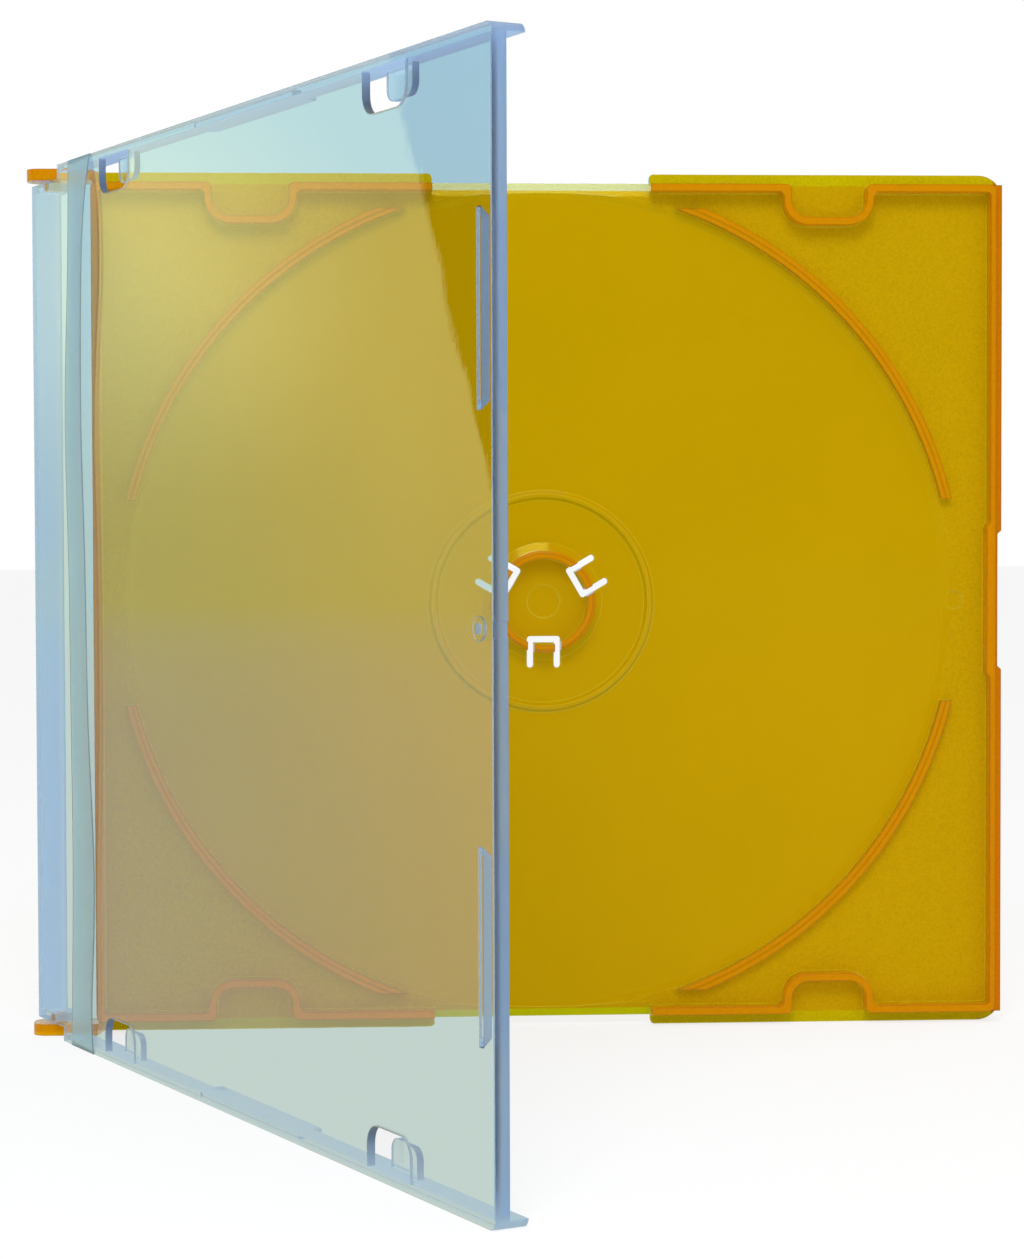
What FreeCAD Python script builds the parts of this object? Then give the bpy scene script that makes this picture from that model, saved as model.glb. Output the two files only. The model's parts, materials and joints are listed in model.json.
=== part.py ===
import FreeCAD, Part
import Sketcher

import math
import os
import re

"""Slim disc case, standing open on its long lower edge: a tinted tray with a sprung hub, a clear lid
that turns on two pins at the left, and a film strip stuck across the lid.

Axes: +X from the spine to the free edge of the tray, +Z up along the spine, -Y out of the open tray.
The origin is the middle of the disc seat, on the hub's axis.

Places inside the case are given as if it were shut: "along" runs from the spine, "across" from the
middle of the width, and "depth" from the outer face of the tray's floor towards the lid.
"""

# Driving sizes in millimetres and degrees: word, value or formula, what it is
SIZES = [
    ("disc_radius", "60", "the disc it holds"),
    ("side_margin", "2.3", "disc to the long edges"),
    ("spine_margin", "3.45", "disc to the hinge wall"),
    ("front_margin", "7.7", "disc to the free edge"),
    ("case_width", "=2 * (disc_radius + side_margin)", "along the spine"),
    ("case_thickness", "5.2", "shut"),
    ("open_angle", "64.7", "lid, from shut to as it stands"),
    ("plate_corner", "1.2", "corner radius of the lid"),
    ("front_corner", "3.5", "corner radius of the tray at the free edge"),
    ("half_width", "=case_width / 2", "middle to a long edge"),
    ("floor_thickness", "1", "tray plate"),
    ("plate_thickness", "1", "lid plate"),
    ("plate_depth", "=case_thickness - plate_thickness", "inner face of the lid plate"),
    ("closing_gap", "0.3", "tray walls to the lid plate, shut"),
    ("landing_gap", "0.3", "lid walls to the tray below them, shut"),
    ("hinge_inset", "4.5", "pin axis from the spine"),
    ("hinge_height", "=case_thickness / 2", "pin axis from the tray's outer face"),
    ("swing_clearance", "0.22", "spine foot to the hinge wall as it turns"),
    ("spine_foot", "0.35", "lower edge of the lid's spine"),
    ("spine_thickness", "1.1", "spine and its end walls"),
    ("spine_bevel", "0.3", "outer edges of the spine"),
    ("spine_reach", "=sqrt(hinge_inset ^ 2 + (hinge_height - spine_foot) ^ 2)", "pin to the spine foot"),
    ("tray_start", "=hinge_inset + spine_reach + swing_clearance", "outer face of the hinge wall"),
    ("lid_wall", "1.05", "lid side walls and lip"),
    ("wall_gap", "0.6", "lid walls to the tray walls"),
    ("tray_wall", "1.1", "tray walls"),
    ("hub_place", "=tray_start + tray_wall + spine_margin + disc_radius", "hub axis from the spine"),
    ("case_length", "=hub_place + disc_radius + front_margin", "spine to free edge, shut"),
    ("tray_half", "=half_width - lid_wall - wall_gap", "middle to the outer face of a rail"),
    ("wall_top", "=plate_depth - closing_gap", "top of the tray walls"),
    ("front_gap", "0.3", "lid lip to the tray's front wall"),
    ("front_face", "=case_length - lid_wall - front_gap", "outer face of the front wall"),
    ("front_wall", "0.85", "front wall of the tray"),
    ("lip_depth", "1.7", "lid lip, from the outer face"),
    ("step_top", "=case_thickness - lip_depth - landing_gap", "ledge below the lip"),
    ("step_inset", "0.45", "ledge to the free edge"),
    ("step_face", "=case_length - step_inset", "outer face of the ledge"),
    ("grip_half", "10.6", "half the finger recess at the free edge"),
    ("grip_depth", "1", "finger recess"),
    ("grip_slant", "0.9", "its sloping ends"),
    ("grip_step", "0.5", "front wall thicker behind the recess"),
    ("bay_half", "15.6", "half the gap between the rails"),
    ("bay_gap", "0.25", "deep wall of the lid to the edge behind it"),
    ("bay_depth", "=lid_wall + bay_gap", "edge set back in the gap"),
    ("bay_slope", "1.9", "width of the bevel there"),
    ("bay_edge", "0.5", "edge thickness there"),
    ("bay_clearance", "0.4", "deep wall of the lid to the gap's ends"),
    ("pocket_offset", "41.7", "hub axis to a tab pocket"),
    ("pocket_half", "5.5", "half width inside a pocket"),
    ("pocket_depth", "4.8", "from the outer face of the rail"),
    ("pocket_corner", "2.6", "inside corner radius"),
    ("pocket_blend", "0.8", "corners where a pocket meets its rail"),
    ("stub_place", "26.8", "hub axis to the gate stub on the upper rail"),
    ("stub_width", "2", "gate stub"),
    ("stub_height", "0.6", "gate stub above the plate"),
    ("stub_gap", "0.15", "gate stub to the lid's side wall"),
    ("tab_side", "1.6", "tab to the sides of its pocket"),
    ("tab_half", "=pocket_half - tab_side", "half width of a tab"),
    ("tab_end", "1.9", "tab to the back of its pocket"),
    ("tab_shift", "0.7", "tab off the middle of its pocket, to the free edge"),
    ("tab_reach", "=wall_gap + pocket_depth - tab_end", "from the lid's side wall"),
    ("tab_thickness", "0.8", "booklet tab"),
    ("booklet_gap", "1.3", "tab to the lid plate"),
    ("tab_corner", "1.5", "corner radius of a tab"),
    ("window_side", "1.5", "tab to the sides of its window"),
    ("window_half", "=tab_half + window_side", "half width of a window over a tab"),
    ("window_end", "1.45", "tab to the back of its window"),
    ("window_depth", "=tab_reach + window_end", "from the lid's side wall"),
    ("window_corner", "2.4", "corner radius of a window"),
    ("side_depth", "=case_thickness - floor_thickness - landing_gap", "lid side walls"),
    ("deep_foot", "0.15", "lower edge of the deep wall"),
    ("ear_thickness", "1.65", "hinge ears of the tray"),
    ("ear_round", "2", "rounded end of an ear"),
    ("ear_past", "0.25", "ear's full height past the hinge wall's outer face"),
    ("ear_top", "=tray_start + ear_past", "end of the ear's full height"),
    ("ear_slope", "0.7", "run of the ear down to the floor"),
    ("ear_foot", "=ear_top + 3 * ear_slope", "end of the ear"),
    ("shoulder", "=ear_top + ear_slope + landing_gap", "where the lid becomes full width"),
    ("ear_gap", "0.35", "ear to the end of the spine"),
    ("lid_half", "=half_width - ear_thickness - ear_gap", "middle to the end of the spine"),
    ("pin_radius", "1", "hinge pin"),
    ("pin_length", "1.3", "hinge pin, from its ear"),
    ("pin_bevel", "0.35", "tip of the pin"),
    ("pin_clearance", "0.06", "pin to its bore"),
    ("knuckle_radius", "2.2", "rounded end of an end wall"),
    ("well_clearance", "0.1", "disc to the well's edge"),
    ("well_radius", "=disc_radius + well_clearance", "outer edge of the disc well's bevel"),
    ("well_bevel", "1.1", "width of that bevel"),
    ("well_drop", "0.3", "depth of the well"),
    ("well_floor", "=floor_thickness - well_drop", "floor of the well"),
    ("seat_rise", "0.55", "disc seat above the well"),
    ("seat_height", "=well_floor + seat_rise", "disc seat, from the tray's outer face"),
    ("seat_inner", "14.8", "inside foot of the ring that the disc rests on"),
    ("seat_width", "1.5", "that ring, foot to foot"),
    ("seat_bevel", "0.55", "each side slope of that ring"),
    ("seat_outer", "=seat_inner + seat_width", "outside foot of that ring"),
    ("hub_radius", "7.45", "hub, for a 15 mm disc hole"),
    ("hub_wall", "1.15", "hub ring"),
    ("hub_gap", "0.3", "hub to the lid plate, shut"),
    ("hub_top", "=plate_depth - hub_gap", "top of the hub"),
    ("hub_round", "0.4", "bevel at the top of the hub"),
    ("hub_skirt", "1.15", "width of the slope at the hub's foot"),
    ("skirt_radius", "=hub_radius + hub_skirt", "outer edge of that slope"),
    ("skirt_drop", "0.1", "top of that slope below the disc"),
    ("dimple_radius", "2.4", "round dimple inside the hub"),
    ("dimple_drop", "0.12", "depth of that dimple"),
    ("slot_width", "0.93", "slots that free the hub's fingers"),
    ("slot_half", "1.97", "finger axis to the middle of a slot"),
    ("slot_past", "1.1", "slots past the slope at the hub's foot"),
    ("slot_end", "=skirt_radius + slot_past", "hub axis to the far end of a slot"),
    ("slot_inset", "0.3", "cross slot to the inside of the hub ring"),
    ("slot_bar", "=hub_radius - hub_wall - slot_inset - slot_width", "hub axis to the cross slot"),
    ("rib_clearance", "0.4", "disc to the ribs round it"),
    ("rib_inner", "=disc_radius + rib_clearance", "ribs round the disc, inside"),
    ("rib_thickness", "1.5", "those ribs"),
    ("rib_height", "1.4", "those ribs above the plate"),
    ("rib_top", "=floor_thickness + rib_height", "their height from the outer face"),
    ("rib_near", "14.8", "near end of a rib, from the case's middle"),
    ("rib_end_gap", "2.35", "far end of a rib to the rail beside it"),
    ("rib_far", "=tray_half - tray_wall - rib_end_gap", "far end of a rib, from the case's middle"),
    ("stay_inset", "4.25", "booklet stop on the lid, to the free edge"),
    ("stay_place", "=case_length - stay_inset", "booklet stop from the spine"),
    ("stay_thickness", "1", "booklet stop"),
    ("stay_height", "1", "booklet stop"),
    ("stay_middle", "33.2", "middle of a stop from the lid's middle"),
    ("stay_half", "10.5", "half its length"),
    ("catch_gap", "0.12", "front wall to the catch beside each stop"),
    ("catch_bulge", "=front_gap - catch_gap", "catch on the lip"),
    ("catch_height", "0.45", "height of the catch"),
    ("gate_inset", "4.1", "raised ring on the lid, to the free edge"),
    ("gate_place", "=case_length - gate_inset", "raised ring from the spine"),
    ("gate_radius", "1.3", "that ring and the ejector mark"),
    ("gate_hole", "0.6", "hollow in the ring"),
    ("gate_rise", "0.3", "that ring"),
    ("mark_depth", "0.15", "ejector mark and the trimmed gate on the lip"),
    ("mark_inset", "5.65", "ejector mark to the outer face of the front wall"),
    ("trim_half", "0.85", "half the trimmed gate on the lip"),
    ("strip_start", "15.3", "near edge of the film strip"),
    ("strip_width", "8.4", "film strip"),
    ("strip_thickness", "0.12", "film strip"),
]

WORDS = sorted((name for name, _, _ in SIZES), key=len, reverse=True)
ALIAS = re.compile(r"\b(" + "|".join(WORDS) + r")\b")

doc = FreeCAD.newDocument("disc_case")
sheet = doc.addObject("Spreadsheet::Sheet", "Sizes")
for row, (name, value, meaning) in enumerate(SIZES, start=1):
    sheet.set(f"A{row}", meaning)
    sheet.set(f"B{row}", value)
    sheet.setAlias(f"B{row}", name)
slate = doc.addObject("Spreadsheet::Sheet", "Slate")
doc.recompute()


def spelled(formula):
    """A formula with the sheet named before each of its words."""
    return ALIAS.sub(r"Sizes.\1", formula)


def value(formula):
    """Work a formula of the sheet's words out to a number, on a slate of one cell."""
    slate.set("B1", f"={spelled(formula)}")
    slate.recompute()
    return float(slate.get("B1"))


def bind(thing, prop, formula):
    """Tie a property to a formula of the sheet's words."""
    thing.setExpression(prop, spelled(formula))


class Piece:
    """A body whose own origin lies at a given place (along, depth) of the shut case."""

    def __init__(self, label, along, depth):
        self.body = doc.addObject("PartDesign::Body", label)
        self.body.Label = label
        self.along = along
        self.depth = depth

    def plane(self, role):
        """The body's own origin plane of that name."""
        for feature in self.body.Origin.OriginFeatures:
            if feature.Role == role:
                return feature
        raise RuntimeError(f"no plane {role}")

    def sketch(self, label, role, offset, turn=None):
        """A sketch on an origin plane, moved by three formulas and, if asked, turned."""
        sketch = self.body.newObject("Sketcher::SketchObject", label)
        sketch.AttachmentSupport = [(self.plane(role), "")]
        sketch.MapMode = "FlatFace"
        if turn:
            sketch.AttachmentOffset = FreeCAD.Placement(FreeCAD.Vector(), turn)
        for axis, formula in zip("xyz", offset):
            if formula:
                bind(sketch, f"AttachmentOffset.Base.{axis}", formula)
        return sketch

    def plan(self, label, along, across, depth):
        """A sketch seen into the open case, its middle at (along, across) and its plane at depth."""
        offset = (f"{along} - ({self.along})", across, f"{depth} - ({self.depth})")
        return self.sketch(label, "XZ_Plane", offset)

    def section(self, label, along, across):
        """A sketch across the spine's direction: x is along, y is depth, and it faces -Z."""
        offset = (f"{along} - ({self.along})", self.depth, across)
        return self.sketch(label, "XY_Plane", offset, FreeCAD.Rotation(FreeCAD.Vector(1, 0, 0), 180))

    def end(self, label, along):
        """A sketch across the length: x is depth, y is across, and it faces the spine."""
        offset = (self.depth, None, f"{along} - ({self.along})")
        return self.sketch(label, "YZ_Plane", offset, FreeCAD.Rotation(FreeCAD.Vector(0, 1, 0), 180))

    def solid(self, kind, label, sketch, **numbers):
        """A Pad, Pocket or Revolution from a sketch, with its lengths tied to formulas."""
        feature = self.body.newObject(f"PartDesign::{kind}", label)
        feature.Profile = sketch
        for prop, formula in numbers.items():
            bind(feature, prop, formula)
        return feature

    def pad(self, label, sketch, length):
        """Raise a sketch from its plane towards the lid, or down the spine for a section."""
        return self.solid("Pad", label, sketch, Length=length)

    def cut(self, label, sketch, length):
        """Cut the same way as a pad goes."""
        feature = self.solid("Pocket", label, sketch, Length=length)
        feature.Reversed = True
        return feature


ORIGIN = (-1, 1)


def dimension(sketch, kind, point, name, formula):
    """Tie how far a point lies from the sketch's origin, along one axis, to a formula."""
    number = value(formula)
    if kind == "DistanceX" and number == 0:
        sketch.addConstraint(Sketcher.Constraint("Vertical", *ORIGIN, *point))
        return
    index = sketch.addConstraint(Sketcher.Constraint(kind, *ORIGIN, *point, number))
    sketch.renameConstraint(index, name)
    bind(sketch, f"Constraints.{name}", formula)


def polygon(sketch, corners):
    """A closed outline through corners given as pairs of formulas."""
    places = [FreeCAD.Vector(value(across), value(up), 0) for across, up in corners]
    count = len(corners)
    for first, last in zip(places, places[1:] + places[:1]):
        sketch.addGeometry(Part.LineSegment(first, last))
    for line in range(count):
        sketch.addConstraint(Sketcher.Constraint("Coincident", line, 2, (line + 1) % count, 1))
    for line, (across, up) in enumerate(corners):
        dimension(sketch, "DistanceX", (line, 1), f"across_{line}", across)
        dimension(sketch, "DistanceY", (line, 1), f"up_{line}", up)


def outline(sketch, width, height, corner=None, rounded=(True, True, True, True)):
    """A rectangle about the sketch's origin, with chosen corners round.

    Corners run lower right, upper right, upper left, lower left.
    """
    x, y = value(width) / 2, value(height) / 2
    radius = value(corner) if corner else 0.0
    rounded = rounded if corner else (False,) * 4
    signs = [(1, -1), (1, 1), (-1, 1), (-1, -1)]
    lines, arcs = [], []
    for side in range(4):
        (ax, ay), (bx, by) = signs[side - 1], signs[side]
        toward = ((bx - ax) / 2, (by - ay) / 2)
        start = radius if rounded[side - 1] else 0.0
        end = radius if rounded[side] else 0.0
        lines.append(sketch.addGeometry(Part.LineSegment(
            FreeCAD.Vector(ax * x + toward[0] * start, ay * y + toward[1] * start, 0),
            FreeCAD.Vector(bx * x - toward[0] * end, by * y - toward[1] * end, 0))))
        sketch.addConstraint(Sketcher.Constraint("Vertical" if side % 2 else "Horizontal", lines[-1]))
    for side, (sx, sy) in enumerate(signs):
        after = lines[(side + 1) % 4]
        if not rounded[side]:
            sketch.addConstraint(Sketcher.Constraint("Coincident", lines[side], 2, after, 1))
            continue
        circle = Part.Circle(FreeCAD.Vector(sx * (x - radius), sy * (y - radius), 0),
                             FreeCAD.Vector(0, 0, 1), radius)
        turn = math.radians(90 * (side - 1))
        arc = sketch.addGeometry(Part.ArcOfCircle(circle, turn, turn + math.pi / 2))
        sketch.addConstraint(Sketcher.Constraint("Tangent", lines[side], 2, arc, 1))
        sketch.addConstraint(Sketcher.Constraint("Tangent", arc, 2, after, 1))
        if arcs:
            sketch.addConstraint(Sketcher.Constraint("Equal", arcs[0], arc))
        arcs.append(arc)
    dimension(sketch, "DistanceY", (lines[0], 1), "lower", f"-({height}) / 2")
    dimension(sketch, "DistanceX", (lines[1], 1), "right", f"({width}) / 2")
    dimension(sketch, "DistanceY", (lines[2], 1), "upper", f"({height}) / 2")
    dimension(sketch, "DistanceX", (lines[3], 1), "left", f"-({width}) / 2")
    if arcs:
        index = sketch.addConstraint(Sketcher.Constraint("Radius", arcs[0], radius))
        sketch.renameConstraint(index, "corner")
        bind(sketch, "Constraints.corner", corner)


def circle(sketch, radius, up=None):
    """A circle on the sketch's origin, or straight above it."""
    height = value(up) if up else 0.0
    ring = sketch.addGeometry(
        Part.Circle(FreeCAD.Vector(0, height, 0), FreeCAD.Vector(0, 0, 1), value(radius)))
    if up:
        dimension(sketch, "DistanceX", (ring, 3), "aside", "0")
        dimension(sketch, "DistanceY", (ring, 3), "up", up)
    else:
        sketch.addConstraint(Sketcher.Constraint("Coincident", ring, 3, *ORIGIN))
    index = sketch.addConstraint(Sketcher.Constraint("Radius", ring, value(radius)))
    sketch.renameConstraint(index, "radius")
    bind(sketch, "Constraints.radius", radius)


def curved_bar(sketch, radii, near, far, aside, up):
    """A bar between two arcs about the sketch's origin, in the quarter that two signs give.

    Its ends lie level across the sketch, at a near and a far height.
    """
    heights = (near, far) if aside * up > 0 else (far, near)
    arcs, ends = [], []
    for radius in radii:
        reach = value(radius)
        rises = [value(height) for height in heights]
        corners = [FreeCAD.Vector(aside * math.sqrt(reach ** 2 - rise ** 2), up * rise, 0) for rise in rises]
        turns = [math.atan2(corner.y, corner.x) % (2 * math.pi) for corner in corners]
        ring = Part.Circle(FreeCAD.Vector(), FreeCAD.Vector(0, 0, 1), reach)
        arc = sketch.addGeometry(Part.ArcOfCircle(ring, *turns))
        sketch.addConstraint(Sketcher.Constraint("Coincident", arc, 3, *ORIGIN))
        index = sketch.addConstraint(Sketcher.Constraint("Radius", arc, reach))
        sketch.renameConstraint(index, f"radius_{arc}")
        bind(sketch, f"Constraints.radius_{arc}", radius)
        for end, height in enumerate(heights, start=1):
            dimension(sketch, "DistanceY", (arc, end), f"up_{arc}_{end}", f"{up} * ({height})")
        arcs.append(arc)
        ends.append(corners)
    for end in (1, 2):
        line = sketch.addGeometry(Part.LineSegment(ends[0][end - 1], ends[1][end - 1]))
        for point, arc in enumerate(arcs, start=1):
            sketch.addConstraint(Sketcher.Constraint("Coincident", line, point, arc, end))


NEAR = 0.01


def straight_at(along_axis, places):
    """A test for the straight edges that run along an axis through any of the given places."""
    def test(edge):
        if not isinstance(edge.Curve, Part.Line) or abs(edge.Curve.Direction[along_axis]) < 0.999:
            return False
        flat = [edge.CenterOfMass[axis] for axis in range(3) if axis != along_axis]
        return any(math.dist(flat, place) < NEAR for place in places)
    return test


def ring_at(radius, height):
    """A test for the round edges of one radius that lie at a height above or below the middle."""
    def test(edge):
        return (isinstance(edge.Curve, Part.Circle) and abs(edge.Curve.Radius - radius) < NEAR
                and abs(abs(edge.Curve.Center.z) - height) < NEAR)
    return test


def soften(piece, kind, label, test, size):
    """Fillet or chamfer the edges of a piece that pass a test."""
    doc.recompute()
    base = piece.body.Tip
    names = [f"Edge{number}" for number, edge in enumerate(base.Shape.Edges, start=1) if test(edge)]
    if not names:
        raise RuntimeError(f"no edge for {label}")
    feature = piece.body.newObject(f"PartDesign::{kind}", label)
    feature.Base = (base, names)
    bind(feature, "Radius" if kind == "Fillet" else "Size", size)


SIDES = (("upper", 1), ("lower", -1))
ENDS = (("near", "hub_place - pocket_offset"), ("far", "hub_place + pocket_offset"))
INWARD = {"upper": (True, False, False, True), "lower": (False, True, True, False)}


def side_strip(piece, label, along, width, low, high, depth, sign, corner=None, rounded=None):
    """A plan outline on one side of the middle, between two distances from it."""
    sketch = piece.plan(label, along, f"{sign} * (({low}) + ({high})) / 2", depth)
    outline(sketch, width, f"({high}) - ({low})", corner, rounded or (True,) * 4)
    return sketch


def section_start(side, near, far):
    """Where a pad that goes down the spine starts, to lie between two distances from the middle."""
    return far if side == "upper" else f"-({near})"


def make_tray():
    """Tinted tray: plate, rails, hinge wall, ledge, tab pockets, disc well, sprung hub and ears."""
    tray = Piece("base_tray", "hub_place", "seat_height")

    plate = tray.plan("plate_outline", "(tray_start + case_length) / 2", None, "0")
    outline(plate, "case_length - tray_start", "case_width", "front_corner", (True, True, False, False))
    tray.pad("plate", plate, "floor_thickness")

    block = tray.plan("wall_outline", "(tray_start + front_face) / 2", None, "0")
    outline(block, "front_face - tray_start", "2 * tray_half", "tray_wall")
    tray.pad("walls", block, "wall_top")

    inside = tray.plan("inside_outline", "(tray_start + tray_wall + front_face - front_wall) / 2", None,
                       "floor_thickness")
    outline(inside, "front_face - front_wall - tray_start - tray_wall", "2 * (tray_half - tray_wall)",
            "tray_wall / 2")
    tray.cut("inside", inside, "wall_top")

    ledge = tray.plan("ledge_outline", "(front_face - front_wall / 2 + step_face) / 2", None, "0")
    outline(ledge, "step_face - front_face + front_wall / 2", "2 * tray_half")
    tray.pad("ledge", ledge, "step_top")

    step = tray.plan("grip_step_outline", "front_face - front_wall", None, "floor_thickness / 2")
    polygon(step, [("-grip_step", "-grip_half"), ("0", "-(grip_half + grip_slant)"),
                   ("front_wall / 2", "-(grip_half + grip_slant)"),
                   ("front_wall / 2", "grip_half + grip_slant"), ("0", "grip_half + grip_slant"),
                   ("-grip_step", "grip_half")])
    tray.pad("grip_step", step, "wall_top - floor_thickness / 2")

    beyond = "half_width + 2 * pocket_corner"
    for side, sign in SIDES:
        for end, along in ENDS:
            bead = side_strip(tray, f"pocket_wall_outline_{side}_{end}", along,
                              "2 * (pocket_half + tray_wall)", "tray_half - pocket_depth - tray_wall",
                              beyond, "floor_thickness", sign, "pocket_corner + tray_wall", INWARD[side])
            tray.pad(f"pocket_wall_{side}_{end}", bead, "wall_top - floor_thickness")
        rail = side_strip(tray, f"flange_outline_{side}", "case_length / 2", "case_length + 2 * lid_wall",
                          "tray_half", f"{beyond} + lid_wall", "floor_thickness", sign)
        tray.cut(f"flange_{side}", rail, "wall_top")
        for end, along in ENDS:
            room = side_strip(tray, f"pocket_outline_{side}_{end}", along, "2 * pocket_half",
                              "tray_half - pocket_depth", beyond, "floor_thickness", sign,
                              "pocket_corner", INWARD[side])
            tray.cut(f"pocket_{side}_{end}", room, "wall_top")

        gap = side_strip(tray, f"bay_outline_{side}", "hub_place", "2 * bay_half",
                         "tray_half - 2 * tray_wall", beyond, "floor_thickness", sign)
        tray.cut(f"bay_{side}", gap, "wall_top")
        edge = side_strip(tray, f"bay_edge_outline_{side}", "hub_place", "2 * bay_half",
                          "half_width - bay_depth", beyond, "-floor_thickness", sign)
        tray.cut(f"bay_edge_{side}", edge, "3 * floor_thickness")
        slope = tray.end(f"bay_slope_outline_{side}", "hub_place + bay_half")
        polygon(slope, [("floor_thickness", f"{sign} * (half_width - bay_depth - bay_slope)"),
                        ("bay_edge", f"{sign} * (half_width - bay_depth)"),
                        ("2 * floor_thickness", f"{sign} * (half_width - bay_depth)"),
                        ("2 * floor_thickness", f"{sign} * (half_width - bay_depth - bay_slope)")])
        tray.cut(f"bay_slope_{side}", slope, "2 * bay_half")

    grip = tray.plan("grip_outline", "case_length", None, "-floor_thickness")
    polygon(grip, [("-grip_depth", "-(grip_half - grip_slant)"), ("grip_depth", "-(grip_half + grip_slant)"),
                   ("grip_depth", "grip_half + grip_slant"), ("-grip_depth", "grip_half - grip_slant")])
    tray.cut("grip", grip, "2 * case_thickness")

    well = tray.section("well_profile", "hub_place", None)
    polygon(well, [("0", "well_floor"), ("well_radius - well_bevel", "well_floor"),
                   ("well_radius", "floor_thickness"), ("well_radius", "2 * floor_thickness"),
                   ("0", "2 * floor_thickness")])
    groove = tray.solid("Groove", "disc_well", well)
    groove.ReferenceAxis = (well, ["V_Axis"])

    hub = tray.section("hub_profile", "hub_place", None)
    ring_inside, dimple_floor = "hub_radius - hub_wall", "floor_thickness - dimple_drop"
    polygon(hub, [("0", "well_floor / 2"), ("seat_outer", "well_floor / 2"), ("seat_outer", "well_floor"),
                  ("seat_outer - seat_bevel", "seat_height"), ("seat_inner + seat_bevel", "seat_height"),
                  ("seat_inner", "well_floor"), ("skirt_radius", "well_floor"),
                  ("hub_radius", "seat_height - skirt_drop"), ("hub_radius", "hub_top - hub_round"),
                  ("hub_radius - hub_round", "hub_top"), (ring_inside, "hub_top"),
                  (ring_inside, "floor_thickness"), ("dimple_radius", "floor_thickness"),
                  ("dimple_radius", dimple_floor), ("0", dimple_floor)])
    boss = tray.solid("Revolution", "hub", hub)
    boss.ReferenceAxis = (hub, ["V_Axis"])

    slots = []
    for hand, place in (("left", "hub_place - slot_half"), ("right", "hub_place + slot_half")):
        leg = side_strip(tray, f"slot_outline_{hand}", place, "slot_width", "slot_bar", "slot_end",
                         "-floor_thickness", -1, "0.49 * slot_width")
        slots.append(tray.cut(f"slot_{hand}", leg, "2 * case_thickness"))
    bar = side_strip(tray, "slot_outline_cross", "hub_place", "2 * slot_half + slot_width", "slot_bar",
                     "slot_bar + slot_width", "-floor_thickness", -1, "0.49 * slot_width")
    slots.append(tray.cut("slot_cross", bar, "2 * case_thickness"))
    doc.recompute()
    fingers = tray.body.newObject("PartDesign::PolarPattern", "hub_fingers")
    fingers.Originals = slots
    fingers.Axis = (hub, ["V_Axis"])
    fingers.Angle = 360
    fingers.Occurrences = 3
    tray.body.Tip = fingers

    quarters = [(1, 1), (-1, 1), (-1, -1), (1, -1)]
    for number, (aside, up) in enumerate(quarters, start=1):
        rib = tray.plan(f"rib_outline_{number}", "hub_place", None, "floor_thickness / 2")
        curved_bar(rib, ("rib_inner", "rib_inner + rib_thickness"), "rib_near", "rib_far", aside, up)
        tray.pad(f"rib_{number}", rib, "rib_top - floor_thickness / 2")

    mark = tray.plan("mark_outline", "front_face - mark_inset", None, "floor_thickness - mark_depth")
    circle(mark, "gate_radius")
    tray.cut("mark", mark, "case_thickness")

    stub = side_strip(tray, "gate_stub_outline", "hub_place + stub_place", "stub_width",
                      "tray_half - tray_wall / 2", "tray_half + wall_gap - stub_gap",
                      "floor_thickness / 2", 1)
    tray.pad("gate_stub", stub, "stub_height + floor_thickness / 2")

    offset, half = value("pocket_offset"), value("pocket_half")
    mouth, bend = (half, value("tray_half")), (half + value("tray_wall"), value("tray_half - tray_wall"))
    corners = [(end * offset + hand * reach, side * edge) for end in (-1, 1) for hand in (-1, 1)
               for side in (-1, 1) for reach, edge in (mouth, bend)]
    soften(tray, "Fillet", "pocket_blends", straight_at(1, corners), "pocket_blend")

    ear_inside = "half_width - ear_thickness"
    for side, _ in SIDES:
        ear = tray.section(f"ear_outline_{side}", "0", section_start(side, ear_inside, "half_width"))
        polygon(ear, [("0", "0"), ("ear_foot", "0"), ("ear_foot", "floor_thickness"),
                      ("ear_top + ear_slope", "floor_thickness"), ("ear_top", "case_thickness"),
                      ("0", "case_thickness")])
        tray.pad(f"ear_{side}", ear, "ear_thickness")
    left, outer, inner = -value("hub_place"), value("seat_height"), value("seat_height - case_thickness")
    soften(tray, "Fillet", "ear_ends", straight_at(2, [(left, outer), (left, inner)]), "ear_round")

    for side, _ in SIDES:
        start = section_start(side, f"{ear_inside} - pin_length", f"{ear_inside} + ear_thickness / 2")
        pin = tray.section(f"pin_outline_{side}", "hinge_inset", start)
        circle(pin, "pin_radius", "hinge_height")
        tray.pad(f"pin_{side}", pin, "pin_length + ear_thickness / 2")
    soften(tray, "Chamfer", "pin_tips",
           ring_at(value("pin_radius"), value(f"{ear_inside} - pin_length")), "pin_bevel")
    half_bay, half = value("bay_half"), value("half_width")
    corners = [(along * half_bay, across * half) for along in (-1, 1) for across in (-1, 1)]
    soften(tray, "Fillet", "gap_ends", straight_at(1, corners), "0.5 * bay_depth")
    return tray


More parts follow.
